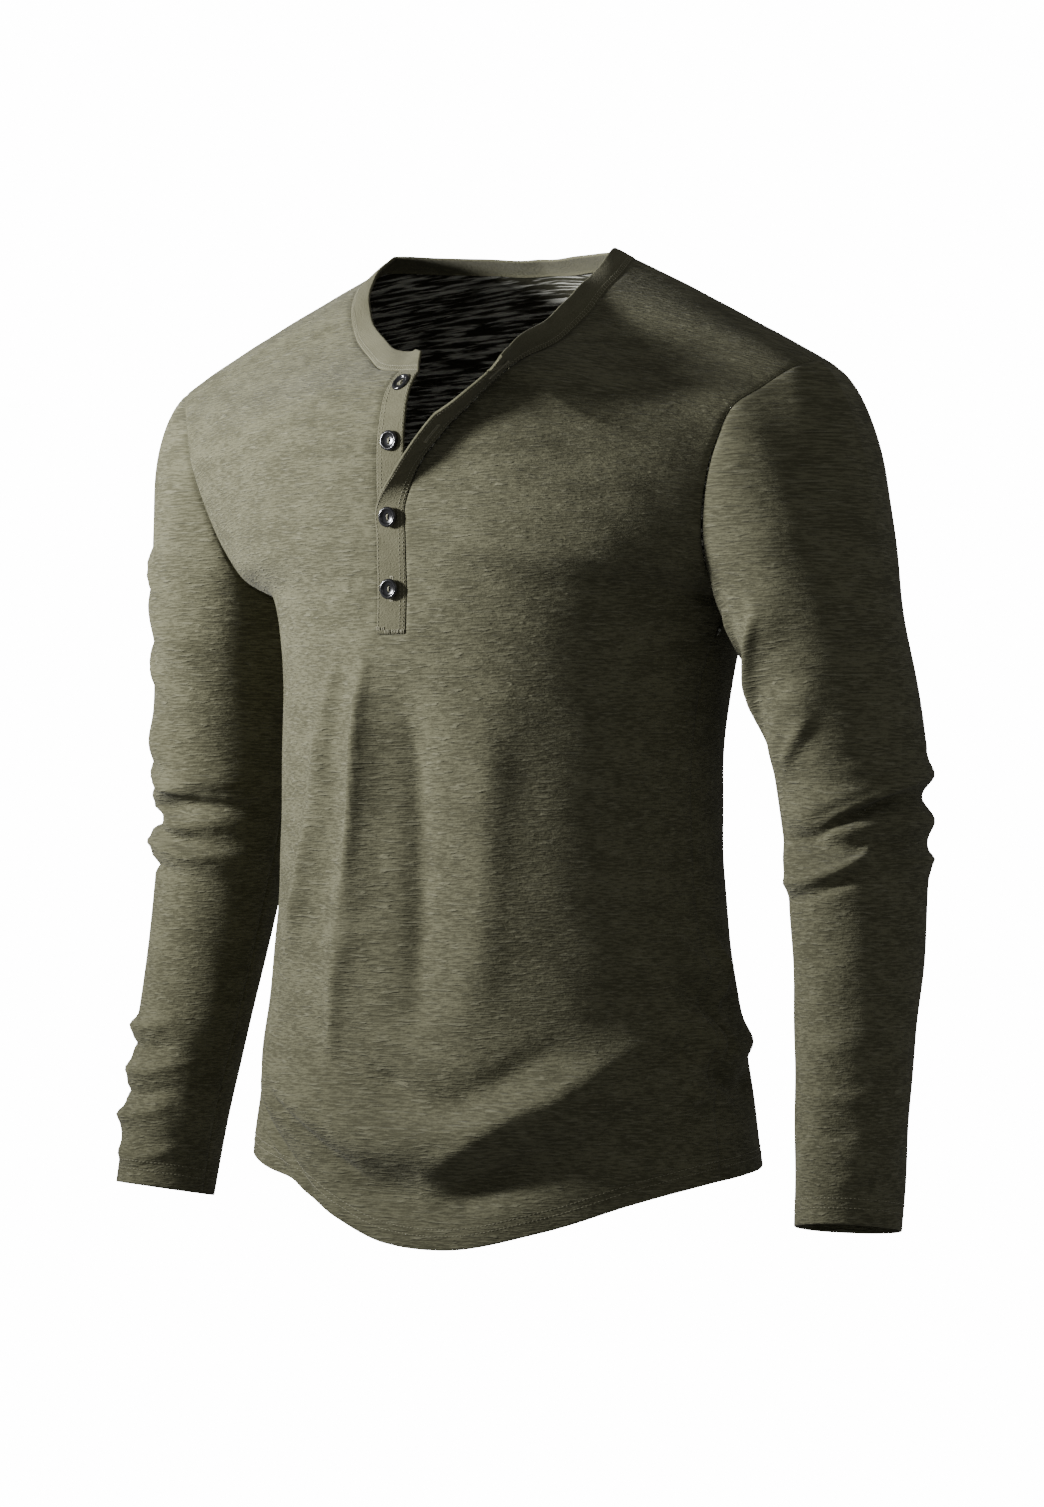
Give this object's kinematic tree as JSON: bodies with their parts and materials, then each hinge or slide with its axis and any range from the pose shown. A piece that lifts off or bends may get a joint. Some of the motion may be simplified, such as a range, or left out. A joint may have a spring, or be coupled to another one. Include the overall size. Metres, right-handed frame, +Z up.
{
  "type": "long-sleeve henley t-shirt",
  "caption": "Men's long-sleeved henley t-shirt in olive slub jersey, filled out as if worn, with a narrow neckband and an open button placket",
  "frame": {"origin": "Between the two sides of the neck, at the height of the neckband's top, where the wearer's shoulders carry the shirt", "axes": "+Z up, -Y to the front of the shirt, +X to the wearer's left"},
  "size_m": [0.6608, 0.294, 0.6898],
  "materials": {
    "slub_jersey": "matte slub jersey with a fine heather",
    "trim_jersey": "matte plain jersey",
    "button_resin": "glossy black resin"
  },
  "bodies": {
    "root": {"front": "slub_jersey", "back": "slub_jersey", "sleeve_left": "slub_jersey", "sleeve_right": "slub_jersey", "neckband": "trim_jersey", "placket_under": "trim_jersey", "placket_over": "trim_jersey", "button_1": "button_resin", "button_2": "button_resin", "button_3": "button_resin", "button_4": "button_resin"}
  },
  "joints": []
}
